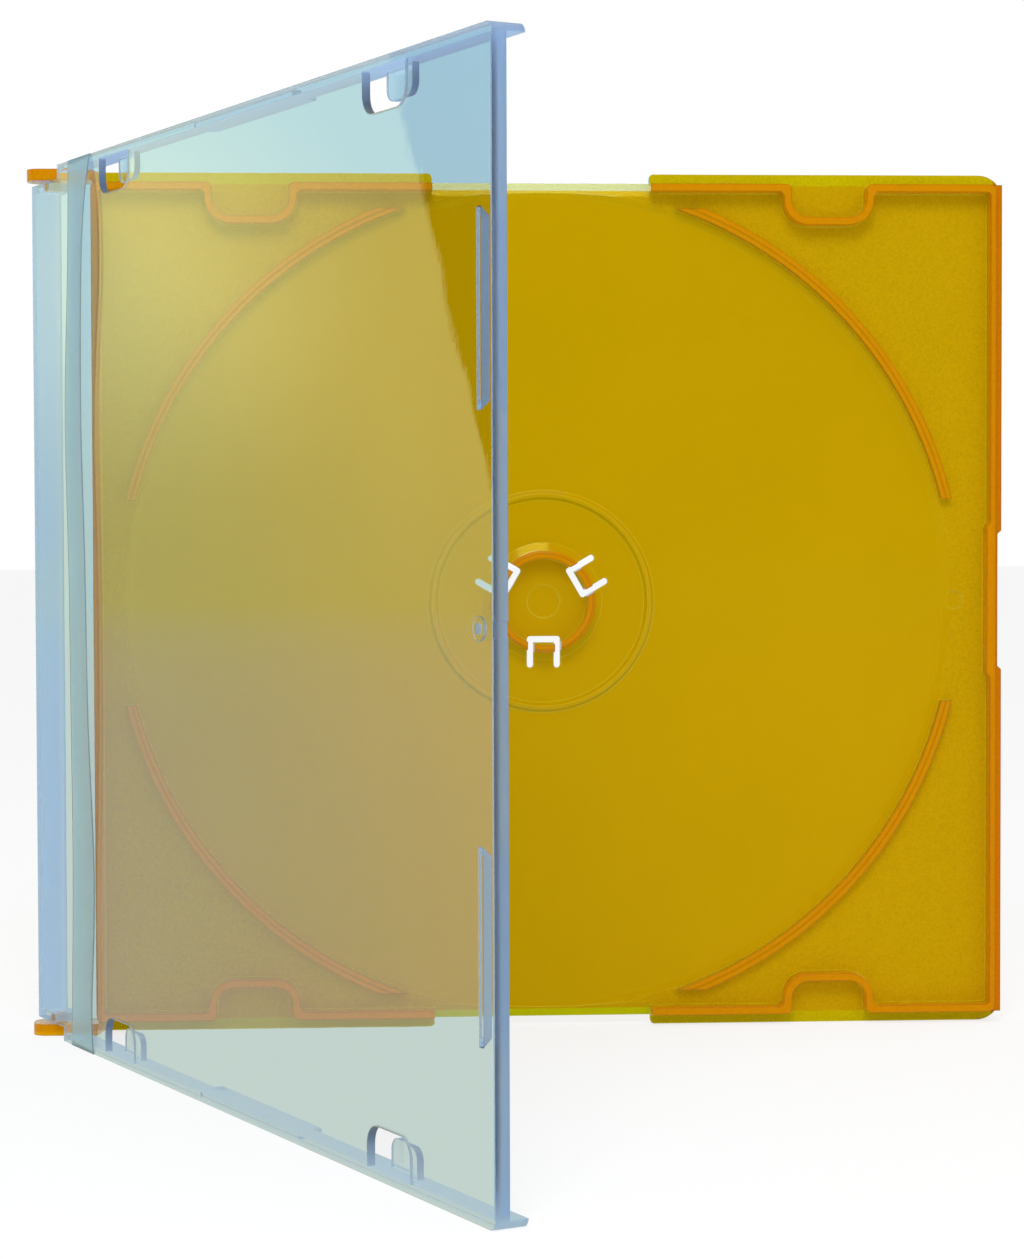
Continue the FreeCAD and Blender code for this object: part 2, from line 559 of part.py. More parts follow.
def make_lid():
    """Clear lid: plate, side walls with a deep middle, lip, spine, bores, windows and booklet tabs."""
    lid = Piece("lid", "hinge_inset", "hinge_height")
    wall_inside = "half_width - lid_wall"

    plate = lid.plan("rim_outline", "case_length / 2", None, "case_thickness - side_depth")
    outline(plate, "case_length", "case_width", "plate_corner")
    lid.pad("rim", plate, "side_depth")

    inside = lid.plan("inside_outline", "(case_length - lid_wall) / 2 - lid_wall", None, "0")
    outline(inside, "case_length + lid_wall", f"2 * ({wall_inside})")
    lid.cut("inside", inside, "plate_depth")

    below_lip = lid.plan("lip_outline", "case_length", None, "0")
    outline(below_lip, "4 * lid_wall", f"2 * ({wall_inside})")
    lid.cut("lip", below_lip, "case_thickness - lip_depth")

    for side, sign in SIDES:
        notch = side_strip(lid, f"ear_notch_outline_{side}", "0", "2 * shoulder", "lid_half",
                           "half_width + lid_wall", "0", sign)
        lid.cut(f"ear_notch_{side}", notch, "2 * case_thickness")
        deep = side_strip(lid, f"deep_wall_outline_{side}", "hub_place", "2 * (bay_half - bay_clearance)",
                          wall_inside, "half_width", "deep_foot", sign)
        lid.pad(f"deep_wall_{side}", deep, "plate_depth - deep_foot")

    spine = lid.plan("spine_outline", "spine_thickness / 2", None, "spine_foot")
    outline(spine, "spine_thickness", "2 * lid_half")
    lid.pad("spine", spine, "plate_depth - spine_foot + plate_thickness / 2")
    left = -value("hinge_inset")
    outer, foot = value("hinge_height - case_thickness"), value("hinge_height - spine_foot")
    soften(lid, "Chamfer", "spine_edges", straight_at(2, [(left, outer), (left, foot)]), "spine_bevel")

    for side, sign in SIDES:
        start = section_start(side, "lid_half - spine_thickness", "lid_half")
        knuckle = lid.section(f"end_wall_outline_{side}", "0", start)
        free_end, top = "hinge_inset + knuckle_radius", "plate_depth + plate_thickness / 2"
        polygon(knuckle, [("spine_thickness / 2", "spine_foot"),
                          (f"{free_end} - knuckle_radius / 2", "spine_foot"),
                          (free_end, "spine_foot + knuckle_radius / 2"), (free_end, top),
                          ("spine_thickness / 2", top)])
        lid.pad(f"end_wall_{side}", knuckle, "spine_thickness")
        start = section_start(side, "lid_half - spine_thickness - ear_gap", "lid_half + ear_gap")
        bore = lid.section(f"bore_outline_{side}", "hinge_inset", start)
        circle(bore, "pin_radius + pin_clearance", "hinge_height")
        lid.cut(f"bore_{side}", bore, "spine_thickness + 2 * ear_gap")

        for end, along in ENDS:
            middle = f"{along} + tab_shift"
            window = side_strip(lid, f"window_outline_{side}_{end}", middle, "2 * window_half",
                                f"{wall_inside} - window_depth", wall_inside,
                                "plate_depth - plate_thickness", sign, "window_corner", INWARD[side])
            lid.cut(f"window_{side}_{end}", window, "3 * plate_thickness")
            tab = side_strip(lid, f"tab_outline_{side}_{end}", middle, "2 * tab_half",
                             f"{wall_inside} - tab_reach", f"{wall_inside} + lid_wall / 2",
                             "plate_depth - booklet_gap - tab_thickness", sign, "tab_corner", INWARD[side])
            lid.pad(f"tab_{side}_{end}", tab, "tab_thickness")

        stay = lid.end(f"booklet_stop_outline_{side}", "stay_place + stay_thickness")
        low, high = f"{sign} * stay_middle - stay_half", f"{sign} * stay_middle + stay_half"
        crest = "plate_depth - stay_height"
        polygon(stay, [("case_thickness - plate_thickness / 2", low), ("plate_depth", low),
                       (crest, f"{low} + stay_height"), (crest, f"{high} - stay_height"),
                       ("plate_depth", high), ("case_thickness - plate_thickness / 2", high)])
        lid.pad(f"booklet_stop_{side}", stay, "stay_thickness")
        catch = side_strip(lid, f"catch_outline_{side}", "case_length - lid_wall",
                           "2 * catch_bulge", "stay_middle - stay_half", "stay_middle + stay_half",
                           "case_thickness - lip_depth", sign)
        lid.pad(f"catch_{side}", catch, "catch_height")

    gate = lid.plan("gate_outline", "gate_place", None, "plate_depth - gate_rise")
    circle(gate, "gate_radius")
    lid.pad("gate", gate, "gate_rise + plate_thickness / 2")
    hollow = lid.plan("gate_hole_outline", "gate_place", None, "plate_depth - 2 * gate_rise")
    circle(hollow, "gate_hole")
    lid.cut("gate_hole", hollow, "3 * gate_rise")

    trim = lid.plan("trim_outline", "case_length", None, "0")
    outline(trim, "2 * mark_depth", "2 * trim_half")
    lid.cut("trim", trim, "2 * case_thickness")
    return lid


def make_strip():
    """Thin film strip that lies across the lid's outer face, from one long edge to the other."""
    strip = Piece("film_strip", "hinge_inset", "hinge_height")
    sheet_outline = strip.plan("strip_outline", "strip_start + strip_width / 2", None, "case_thickness")
    outline(sheet_outline, "strip_width", "case_width")
    strip.pad("film", sheet_outline, "strip_thickness")
    return strip


def open_out(piece):
    """Turn a piece that hangs on the hinge from shut to its standing angle, about its own origin."""
    piece.body.Placement = FreeCAD.Placement(
        FreeCAD.Vector(), FreeCAD.Rotation(FreeCAD.Vector(0, 0, 1), -value("open_angle")))
    bind(piece.body, "Placement.Base.x", "hinge_inset - hub_place")
    bind(piece.body, "Placement.Base.y", "seat_height - hinge_height")
    bind(piece.body, "Placement.Rotation.Angle", "-open_angle * 1 deg")


tray = make_tray()
lid = make_lid()
strip = make_strip()
for hung in (lid, strip):
    open_out(hung)
doc.recompute()

for thing in doc.Objects:
    if "Invalid" in thing.State or "Error" in thing.State:
        raise RuntimeError(f"{thing.Label} did not build")

os.makedirs("parts", exist_ok=True)
for piece in (tray, lid, strip):
    shape = piece.body.Shape
    if shape.isNull() or not shape.isValid() or len(shape.Solids) != 1:
        raise RuntimeError(f"{piece.body.Label} is not one sound solid")
    shape.exportStep(f"parts/{piece.body.Label}.step")
    print(piece.body.Label, round(shape.Volume), "mm3")
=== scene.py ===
import json
import math

import bpy
import numpy as np
from mathutils import Matrix, Vector


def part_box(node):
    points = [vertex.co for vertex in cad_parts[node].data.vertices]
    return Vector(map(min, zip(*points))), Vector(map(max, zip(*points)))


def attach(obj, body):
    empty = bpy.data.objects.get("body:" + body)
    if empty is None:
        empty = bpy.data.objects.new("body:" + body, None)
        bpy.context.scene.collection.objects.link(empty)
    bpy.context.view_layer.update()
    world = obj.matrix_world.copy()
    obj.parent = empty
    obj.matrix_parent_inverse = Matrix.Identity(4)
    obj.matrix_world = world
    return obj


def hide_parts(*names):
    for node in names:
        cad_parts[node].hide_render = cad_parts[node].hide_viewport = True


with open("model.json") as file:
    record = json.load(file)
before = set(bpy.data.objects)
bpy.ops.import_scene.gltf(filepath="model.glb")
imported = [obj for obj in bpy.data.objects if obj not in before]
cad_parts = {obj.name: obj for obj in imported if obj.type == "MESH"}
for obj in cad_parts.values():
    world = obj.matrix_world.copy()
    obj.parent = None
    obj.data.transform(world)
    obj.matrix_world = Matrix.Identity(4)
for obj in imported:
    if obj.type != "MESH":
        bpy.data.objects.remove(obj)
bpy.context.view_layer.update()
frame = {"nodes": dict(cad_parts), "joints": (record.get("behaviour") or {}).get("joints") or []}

bl_info = {
    "name": "Slim disc case",
    "version": (1, 0, 0),
    "blender": (4, 5, 0),
    "location": "View3D > Sidebar > Disc case",
    "description": "Finishes a tinted tray, a clear lid and a film strip, and sets the studio round them",
    "category": "Object",
}

MM = 0.001

# The lid hangs on this joint, which gives its place and how far it stands open
HINGE = next(joint for joint in frame["joints"] if joint["name"] == "lid_hinge")
PIN = Vector(HINGE["pos_m"])
OPEN_ANGLE = math.radians(-HINGE["range_deg"][0])
HALF_THICKNESS = 2.6 * MM
FLOOR_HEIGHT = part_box("base_tray")[0].z

# Photograph's camera, solved from the case's corners, hub and pockets
CAMERA_PLACE = Vector((-27.66, -424.44, 9.69)) * MM
CAMERA_YAW = math.radians(3.106)
CAMERA_PITCH = math.radians(1.855)
CAMERA_ROLL = math.radians(-0.181)
FOCAL_PIXELS = 2906.75
PHOTO_WIDTH = 1024
SENSOR_WIDTH = 36.0

BLACK = (0.0, 0.0, 0.0, 1.0)
WHITE = (1.0, 1.0, 1.0, 1.0)

# Stretches of the tray that its looks tell apart, and how softly they meet
SOFT_EDGE = 0.2 * MM
FLANGE_WIDTH = 1.7 * MM
LEDGE_WIDTH = 1.4 * MM
PLATE_TOP = -0.1 * MM
WALL_TOP = 0.9 * MM
MIDDLE_BLUR = 1.0 * MM

# Slopes at the middle of the tray's upper and lower edges, by height and half their width
BAY_SLOPE = 59.8 * MM
BAY_HALF = 15.8 * MM

# Painted dark line of shade along the disc's seat, by how far outside the disc well it runs and half its
# width
RIDGE_OFFSET = 1.0 * MM
RIDGE_HALF = 0.05 * MM

# Cosines of a face's slant between which a mask goes from 0 to 1
FLAT_FACING = (0.975, 0.995)
EDGE_FACING = (0.3, 0.7)
LEVEL_FACING = (0.5, 0.8)

# How far a rounded normal leaves the face's own, as 1 less the cosine, where an edge starts and is full
ROUNDED_TURN = (0.01, 0.12)

# Open shares of the sky between which a face goes from shaded to lit
SHADED_SHARES = (0.20, 0.60)

# How much the tray's painted shade, specks, grain, painted dark lines and slow clouds count
SHADE_DEPTH = 0.34
SPECK_DEPTH = 0.5
GRAIN_DEPTH = 0.6
LINE_DEPTH = 0.8
RIDGE_DEPTH = 0.5
TRAY_CLOUD = 0.04

# Roughness of the tray inside the disc well, and what the grain adds outside it
SMOOTH_ROUGHNESS = 0.08
GRAINED_ROUGHNESS = 0.22

# How much the lid's slow clouds count in its colour and in its polish
LID_CLOUD = 0.015
LID_HAZE = 0.01

# Noises of moulded faces, in waves per metre
RIPPLE_SCALE = 90.0
CLOUD_SCALE = 38.0

# Film strip: its gap to the lid, its rows and columns of places, and how much its waves tint it
FILM_SEAT = 0.02 * MM
FILM_ROWS = 161
FILM_COLUMNS = 25
FILM_CLOUD = 0.05

# Soft lamp, which faces the hub
LAMP_PLACE = (-0.05, -0.51, 0.40)
LAMP_SIZE = 0.26

# Pale room: the heights of its gradient, its share at the horizon, and the floor's way to there
ROOM_HEIGHTS = (-0.16, 0.22)
HORIZON_SHARE = 0.38
FLOOR_REACH = (0.2, 3.0)
FRONT_BLUR = 0.1

# Floor: for the camera grey that takes a shadow and white added to it, and for the light another grey
SHADED_GREY = 0.3
ADDED_WHITE = 0.74
MATTE_GREY = 0.8

# Dark doorway of the room, by bearing from +Y towards +X
DOORWAY_NEAR = math.radians(-53.6)
DOORWAY_FAR = math.radians(-57)
DOORWAY_LEAN = 0.24
DOORWAY_BLUR = math.radians(0.1)

# Left wall of the room that the lid's faces reflect, by bearing
LEFT_FAR = math.radians(-65)
LEFT_NEAR = math.radians(-45.2)
LEFT_BLUR = math.radians(2)

# Bright window of the room that the lid reflects near its spine, by bearing and height
WINDOW_BEARING = math.radians(-46.5)
WINDOW_HEIGHT = 0.09
WINDOW_REACH = math.radians(5.5)


class TrayLooks(bpy.types.PropertyGroup):
    """Colours and grain of the tinted tray."""
    floor_colour: bpy.props.FloatVectorProperty(
        name="Floor colour", description="Plastic where it is thin", subtype="COLOR",
        default=(0.99, 0.575, 0.001), min=0, max=1)
    wall_colour: bpy.props.FloatVectorProperty(
        name="Wall colour", description="Plastic where it is seen edge on", subtype="COLOR",
        default=(0.97, 0.36, 0.001), min=0, max=1)
    flange_colour: bpy.props.FloatVectorProperty(
        name="Flange colour", description="Plate outside the rails", subtype="COLOR",
        default=(0.99, 0.76, 0.001), min=0, max=1)
    ledge_colour: bpy.props.FloatVectorProperty(
        name="Ledge colour", description="Step at the free edge", subtype="COLOR",
        default=(0.90, 0.25, 0.001), min=0, max=1)
    # Painted light on the bay slopes: a darker, shaded copy of the colour on the upper one, under the lamp's
    # highlight, and a painted reflection of the floor on the lower one
    upper_slope_shaded_colour: bpy.props.FloatVectorProperty(
        name="Upper slope colour", description="Slope at the upper bay, which catches the light",
        subtype="COLOR", default=(0.33, 0.45, 0.001), min=0, max=1)
    lower_slope_reflection_colour: bpy.props.FloatVectorProperty(
        name="Lower slope colour", description="Slope at the lower bay", subtype="COLOR",
        default=(0.95, 0.98, 0.001), min=0, max=1)
    # Painted glow: faint emission on the walls and at their feet, though the plastic is no lamp
    wall_glow: bpy.props.FloatVectorProperty(
        name="Wall glow", description="Light that the plastic gathers and lets out at its walls",
        subtype="COLOR", default=(0.09, 0.04, 0.0), min=0, max=1)
    foot_glow: bpy.props.FloatVectorProperty(
        name="Foot glow", description="The same at the feet of the walls", subtype="COLOR",
        default=(0.12, 0.10, 0.0), min=0, max=1)
    # Painted highlight: a bright line along the foot of each wall
    foot_highlight_colour: bpy.props.FloatVectorProperty(
        name="Foot colour", description="Bright line at the foot of a wall", subtype="COLOR",
        default=(1.0, 0.95, 0.05), min=0, max=1)
    # Painted shade: a dark line along the walls' edges and along the disc's seat
    dark_line_shade_colour: bpy.props.FloatVectorProperty(
        name="Line colour", description="Dark line along a wall's edges", subtype="COLOR",
        default=(0.22, 0.06, 0.001), min=0, max=1)
    edge_radius: bpy.props.FloatProperty(
        name="Edge radius", description="Rounding of the moulded edges", default=0.30 * MM, unit="LENGTH")
    clearness: bpy.props.FloatProperty(
        name="Clearness", description="Share of light that passes through", default=0.61, min=0, max=1,
        subtype="FACTOR")
    grain_size: bpy.props.FloatProperty(
        name="Grain size", description="Texture in the corners", default=0.35 * MM, unit="LENGTH")
    disc_radius: bpy.props.FloatProperty(
        name="Disc well", description="Radius inside which the tray is smooth", default=60.1 * MM,
        unit="LENGTH")


class LidLooks(bpy.types.PropertyGroup):
    """Tint and surface of the clear lid."""
    colour: bpy.props.FloatVectorProperty(
        name="Colour", description="Surface tint", subtype="COLOR",
        default=(0.995, 0.998, 1.0), min=0, max=1)
    depth_colour: bpy.props.FloatVectorProperty(
        name="Depth colour", description="What is left of light after a long way through", subtype="COLOR",
        default=(0.20, 0.34, 0.76), min=0, max=1)
    edge_colour: bpy.props.FloatVectorProperty(
        name="Edge colour", description="Cut edges, which show the tint of the whole plate",
        subtype="COLOR", default=(0.60, 0.72, 0.92), min=0, max=1)
    # Painted glow: faint emission on the plate's upright and level edges, though the plastic is no lamp
    lip_glow: bpy.props.FloatVectorProperty(
        name="Lip glow", description="Light that the plate gathers and lets out at its upright edges",
        subtype="COLOR", default=(0.02, 0.035, 0.07), min=0, max=1)
    top_glow: bpy.props.FloatVectorProperty(
        name="Top glow", description="The same at its level edges", subtype="COLOR",
        default=(0.07, 0.08, 0.08), min=0, max=1)
    depth_density: bpy.props.FloatProperty(
        name="Depth density", description="How fast the tint deepens, per metre", default=45.0, min=0)
    roughness: bpy.props.FloatProperty(
        name="Roughness", description="Polish of the faces", default=0.0, min=0, max=1, subtype="FACTOR")
    edge_roughness: bpy.props.FloatProperty(
        name="Edge roughness", description="Polish of the edges", default=0.9, min=0, max=1,
        subtype="FACTOR")


class StripLooks(bpy.types.PropertyGroup):
    """Size, lift and colour of the film strip."""
    colour: bpy.props.FloatVectorProperty(
        name="Colour", description="Film", subtype="COLOR", default=(0.74, 0.93, 1.0), min=0, max=1)
    start: bpy.props.FloatProperty(
        name="Start", description="Near edge, from the spine", default=15.1 * MM, unit="LENGTH")
    slant: bpy.props.FloatProperty(
        name="Slant", description="How much further out the upper end lies", default=1.5 * MM,
        unit="LENGTH")
    width: bpy.props.FloatProperty(
        name="Width", description="Film", default=8.9 * MM, unit="LENGTH")
    bow: bpy.props.FloatProperty(
        name="Bow", description="How far it wanders towards the spine", default=1.6 * MM, unit="LENGTH")
    thickness: bpy.props.FloatProperty(
        name="Thickness", description="Film", default=0.12 * MM, unit="LENGTH")
    lift: bpy.props.FloatProperty(
        name="Lift", description="How far the loose edge stands off", default=0.85 * MM, unit="LENGTH")


class StudioLooks(bpy.types.PropertyGroup):
    """Light, floor and the pale room that clear plastic shows."""
    light: bpy.props.FloatProperty(
        name="Room light", description="Strength of the even light", default=0.62, min=0)
    lamp_power: bpy.props.FloatProperty(
        name="Lamp power", description="Soft lamp in front, above and to the left", default=1.7, min=0,
        unit="POWER")
    upper_colour: bpy.props.FloatVectorProperty(
        name="Upper room", description="Seen through clear plastic, high up", subtype="COLOR",
        default=(0.46, 0.74, 0.88), min=0, max=1)
    lower_colour: bpy.props.FloatVectorProperty(
        name="Lower room", description="Seen through clear plastic, low down", subtype="COLOR",
        default=(0.57, 0.68, 0.62), min=0, max=1)
    window_colour: bpy.props.FloatVectorProperty(
        name="Window", description="Bright window that the lid reflects", subtype="COLOR",
        default=(1.15, 1.3, 0.65), min=0, max=3)
    left_colour: bpy.props.FloatVectorProperty(
        name="Left wall", description="Room that the lid's faces reflect", subtype="COLOR",
        default=(0.66, 0.76, 0.37), min=0, max=1)
    front_colour: bpy.props.FloatVectorProperty(
        name="Front", description="Dim room behind the camera, in reflections", subtype="COLOR",
        default=(0.10, 0.09, 0.05), min=0, max=1)
    floor_size: bpy.props.FloatProperty(
        name="Floor", description="Half its side", default=6.0, unit="LENGTH")


def node(tree, kind, inputs=None, **settings):
    """A new node, with its sockets filled by name or number: a socket is linked and a number is set."""
    made = tree.nodes.new(kind)
    for name, setting in settings.items():
        setattr(made, name, setting)
    for name, source in (inputs or {}).items():
        if isinstance(source, bpy.types.NodeSocket):
            tree.links.new(source, made.inputs[name])
        else:
            made.inputs[name].default_value = source
    return made


def maths(tree, operation, *terms):
    """Output of a maths node."""
    return node(tree, "ShaderNodeMath", dict(enumerate(terms)), operation=operation).outputs[0]


def times(tree, first, second):
    """One value times another."""
    return maths(tree, "MULTIPLY", first, second)


def inverse(tree, mask):
    """What a mask leaves: 1 less the mask."""
    return maths(tree, "SUBTRACT", 1.0, mask)


def unsigned(tree, value):
    """A value without its sign."""
    return maths(tree, "ABSOLUTE", value)


def distance(tree, first, second):
    """Length of two legs at right angles: the root of the sum of their squares."""
    squares = maths(tree, "ADD", times(tree, first, first), times(tree, second, second))
    return maths(tree, "SQRT", squares)


def ramp(tree, source, low, high):
    """From 0 where the source is low to 1 where it is high, smoothly."""
    made = node(tree, "ShaderNodeMapRange", {"Value": source, "From Min": low, "From Max": high},
                interpolation_type="SMOOTHSTEP")
    return made.outputs["Result"]


def step(tree, source, start, blur):
    """0 before the start and 1 past it, with a blur between."""
    return ramp(tree, source, start, start + blur)


def blend_colours(tree, factor, first, second):
    """A colour between two, by a factor."""
    return node(tree, "ShaderNodeMix", {0: factor, 6: first, 7: second}, data_type="RGBA").outputs[2]


def opaque(colour):
    """A colour with full alpha."""
    return (*colour, 1.0)


def new_material(name):
    """An empty node material with its output. Its glow is faint, so it isn't sampled as a lamp."""
    material = bpy.data.materials.new(name)
    material.use_nodes = True
    material.cycles.emission_sampling = "NONE"
    tree = material.node_tree
    tree.nodes.clear()
    return material, tree, tree.nodes.new("ShaderNodeOutputMaterial")


def new_group(name, inputs, outputs):
    """A shader node group with named sockets: (name, kind, default) and (name, kind)."""
    group = bpy.data.node_groups.new(name, "ShaderNodeTree")
    for label, kind, default in inputs:
        socket = group.interface.new_socket(label, in_out="INPUT", socket_type=kind)
        if default is not None:
            socket.default_value = default
    for label, kind in outputs:
        group.interface.new_socket(label, in_out="OUTPUT", socket_type=kind)
    return group, group.nodes.new("NodeGroupInput"), group.nodes.new("NodeGroupOutput")


def moulded_surface():
    """Group: rounded edges, a slow ripple and a fine grain on a moulded face.

    The normal is that of edges rounded by Edge, with two noises as height: Ripple over a few
    millimetres and Grain at Size. Cloud is a slow mask from 0 to 1 for colour and polish, Speck is
    the grain itself, and Rounding is 1 along edges and corners: how far the rounded normal leaves
    the face's own.
    """
    found = bpy.data.node_groups.get("moulded_surface")
    if found:
        return found
    group, given, made = new_group(
        "moulded_surface",
        [("Place", "NodeSocketVector", None), ("Edge", "NodeSocketFloat", 0.2 * MM),
         ("Size", "NodeSocketFloat", 0.4 * MM), ("Grain", "NodeSocketFloat", 0.2),
         ("Ripple", "NodeSocketFloat", 0.1)],
        [("Normal", "NodeSocketVector"), ("Cloud", "NodeSocketFloat"), ("Speck", "NodeSocketFloat"),
         ("Rounding", "NodeSocketFloat")])

    def noise(scale, detail):
        inputs = {"Vector": given.outputs["Place"], "Scale": scale, "Detail": detail}
        return node(group, "ShaderNodeTexNoise", inputs).outputs["Fac"]

    rounded = node(group, "ShaderNodeBevel", {"Radius": given.outputs["Edge"]}, samples=2).outputs["Normal"]
    grain = noise(maths(group, "DIVIDE", 1.0, given.outputs["Size"]), 2.0)
    slow = node(group, "ShaderNodeBump", {
        "Strength": given.outputs["Ripple"], "Distance": 0.3 * MM, "Height": noise(RIPPLE_SCALE, 1.0),
        "Normal": rounded})
    fine = node(group, "ShaderNodeBump", {
        "Strength": given.outputs["Grain"], "Distance": 0.06 * MM, "Height": grain,
        "Normal": slow.outputs["Normal"]})
    face = group.nodes.new("ShaderNodeNewGeometry").outputs["Normal"]
    along = node(group, "ShaderNodeVectorMath", {0: rounded, 1: face},
                 operation="DOT_PRODUCT").outputs["Value"]
    rounding = ramp(group, inverse(group, along), *ROUNDED_TURN)
    for name, source in (("Normal", fine.outputs["Normal"]), ("Cloud", noise(CLOUD_SCALE, 3.0)),
                         ("Speck", grain), ("Rounding", rounding)):
        group.links.new(source, made.inputs[name])
    return group


def surface_of(tree, place, edge, size, grain, ripple):
    """Outputs of the moulded surface group, placed in a material."""
    inputs = {"Place": place, "Edge": edge, "Size": size, "Grain": grain, "Ripple": ripple}
    return node(tree, "ShaderNodeGroup", inputs, node_tree=moulded_surface()).outputs


def shade_from_above(tree):
    """How open a face is to the light above and in front: 1 in the open, less just below a wall."""
    nearby = node(tree, "ShaderNodeAmbientOcclusion", {"Distance": 4.0 * MM, "Normal": (0.0, -0.6, 0.8)},
                  samples=2)
    return ramp(tree, nearby.outputs["AO"], *SHADED_SHARES)


def tray_parts(tree, looks, coordinates):
    """Masks from 0 to 1 of the tray's stretches, by place and by the face's own direction.

    outside is the faces square to the disc that lie beyond its well. raised grows from the plate to
    the walls' upper part. flange and ledge are the plate outside the rails and the step at the free
    edge. slope is the slanted faces at the two bays, where painted light goes, upper is what lies above
    the middle, and ridge is a thin line along the disc's seat, where a painted dark line of shade runs.
    """
    x, y, z = node(tree, "ShaderNodeSeparateXYZ", {0: coordinates["Object"]}).outputs
    facing = node(tree, "ShaderNodeSeparateXYZ", {0: coordinates["Normal"]}).outputs["Y"]
    flat = ramp(tree, unsigned(tree, facing), *FLAT_FACING)
    height = unsigned(tree, z)
    radius = distance(tree, x, z)
    well = step(tree, radius, looks.disc_radius - SOFT_EDGE / 2, SOFT_EDGE)
    bay = times(tree, step(tree, height, BAY_SLOPE, SOFT_EDGE),
                inverse(tree, step(tree, unsigned(tree, x), BAY_HALF, SOFT_EDGE / 2)))
    beside_ridge = unsigned(tree, maths(tree, "SUBTRACT", radius, looks.disc_radius + RIDGE_OFFSET))
    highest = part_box("base_tray")[1]
    return {
        "outside": times(tree, flat, well),
        "raised": ramp(tree, times(tree, y, -1.0), PLATE_TOP, WALL_TOP),
        "flange": step(tree, height, highest.z - FLANGE_WIDTH, SOFT_EDGE),
        "ledge": step(tree, x, highest.x - LEDGE_WIDTH, SOFT_EDGE),
        "slope": times(tree, bay, inverse(tree, flat)),
        "upper": ramp(tree, z, -MIDDLE_BLUR, MIDDLE_BLUR),
        "ridge": inverse(tree, step(tree, beside_ridge, RIDGE_HALF, SOFT_EDGE)),
    }


def tray_colour(tree, looks, parts, surface, foot):
    """Base colour: yellow where thin, deeper in the walls, with painted light and shade along the edges.

    Each colour is laid over the ones before it by its mask. The slopes take painted light: a shaded
    copy of the colour on the upper one and a painted reflection of the floor on the lower one. The
    last two are a painted highlight along the walls' feet and a painted dark line of shade along their
    edges and the ridge. Painted shade and specks then scale it.
    """
    # Painted shade: dark lines along the rounded edges of the walls and along the ridge
    edges = maths(tree, "MAXIMUM", surface["Rounding"], times(tree, parts["ridge"], RIDGE_DEPTH))
    line = times(tree, edges, times(tree, parts["raised"], LINE_DEPTH))
    # Painted light: a shaded copy above the middle and a painted reflection of the floor below it
    painted_slope_light = blend_colours(tree, parts["upper"], opaque(looks.lower_slope_reflection_colour),
                                 opaque(looks.upper_slope_shaded_colour))
    colour = blend_colours(tree, surface["Cloud"], opaque(Vector(looks.floor_colour) * (1 - TRAY_CLOUD)),
                           opaque(Vector(looks.floor_colour) * (1 + TRAY_CLOUD)))
    for mask, layer in ((parts["flange"], opaque(looks.flange_colour)), (parts["slope"], painted_slope_light),
                        (parts["raised"], opaque(looks.wall_colour)),
                        (parts["ledge"], opaque(looks.ledge_colour)), (foot, opaque(looks.foot_highlight_colour)),
                        (line, opaque(looks.dark_line_shade_colour))):
        colour = blend_colours(tree, mask, colour, layer)
    shade = maths(tree, "ADD", 1.0 - SHADE_DEPTH, times(tree, shade_from_above(tree), SHADE_DEPTH))
    speck = times(tree, parts["outside"], maths(tree, "SUBTRACT", surface["Speck"], 0.5))
    tone = times(tree, shade, maths(tree, "ADD", 1.0, times(tree, speck, SPECK_DEPTH)))
    return node(tree, "ShaderNodeVectorMath", {0: colour, "Scale": tone}, operation="SCALE").outputs[0]


def tray_material(looks):
    """See-through orange plastic, grained outside the disc well and glossy along its rounded edges.

    The walls and their feet get a faint painted glow, and a coat makes the edges and the upper slope
    catch the lamp.
    """
    material, tree, output = new_material("tinted_plastic")
    coordinates = tree.nodes.new("ShaderNodeTexCoord").outputs
    parts = tray_parts(tree, looks, coordinates)
    surface = surface_of(tree, coordinates["Object"], edge=looks.edge_radius, size=looks.grain_size,
                         grain=times(tree, parts["outside"], GRAIN_DEPTH), ripple=0.02)
    rounding = surface["Rounding"]
    # Mask of the walls' feet, where a painted highlight and a painted glow go
    foot = times(tree, rounding, inverse(tree, parts["raised"]))
    # Painted glow on the walls and at their feet
    walls = times(tree, parts["raised"], inverse(tree, rounding))
    glow = blend_colours(tree, walls, BLACK, opaque(looks.wall_glow))
    glow = blend_colours(tree, foot, glow, opaque(looks.foot_glow))
    grained = times(tree, parts["outside"], GRAINED_ROUGHNESS)
    shader = node(tree, "ShaderNodeBsdfPrincipled", {
        "Base Color": tray_colour(tree, looks, parts, surface, foot), "Normal": surface["Normal"],
        "Roughness": maths(tree, "ADD", grained, SMOOTH_ROUGHNESS), "Metallic": 0.0, "IOR": 1.5,
        "Specular Tint": (0.50, 0.50, 0.05, 1.0), "Transmission Weight": looks.clearness,
        "Coat Roughness": 0.05,
        "Coat Weight": maths(tree, "MAXIMUM", rounding, times(tree, parts["slope"], parts["upper"])),
        "Emission Color": glow, "Emission Strength": 1.0})
    tree.links.new(shader.outputs[0], output.inputs["Surface"])
    depth = node(tree, "ShaderNodeVolumeAbsorption", {"Color": (0.99, 0.90, 0.0, 1.0), "Density": 1000.0})
    tree.links.new(depth.outputs[0], output.inputs["Volume"])
    return material


